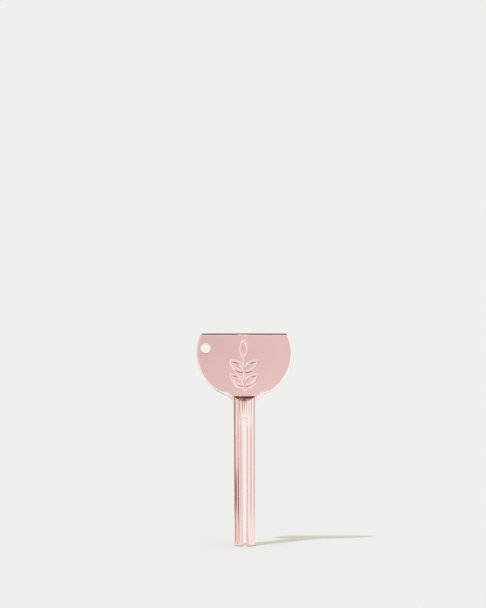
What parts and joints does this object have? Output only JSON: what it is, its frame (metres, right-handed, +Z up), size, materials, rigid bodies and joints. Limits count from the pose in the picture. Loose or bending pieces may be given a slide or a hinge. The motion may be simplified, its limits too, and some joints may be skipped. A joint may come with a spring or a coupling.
{
  "type": "tube key",
  "caption": "Folded sheet-metal key for winding up soft tubes: flat rounded head with a keyring hole, on a slotted tubular shank that takes the end of the tube.",
  "frame": {"origin": "middle of the shank's foot, where the key stands", "axes": "+Z up along the shank to the head, +X across the head away from the keyring hole, -Y out of the decorated face"},
  "size_m": [0.0336, 0.0076, 0.075],
  "materials": {
    "plated_sheet": "pink-gold plating on steel sheet, polished"
  },
  "bodies": {
    "root": {"tube_key": "plated_sheet"}
  },
  "joints": []
}
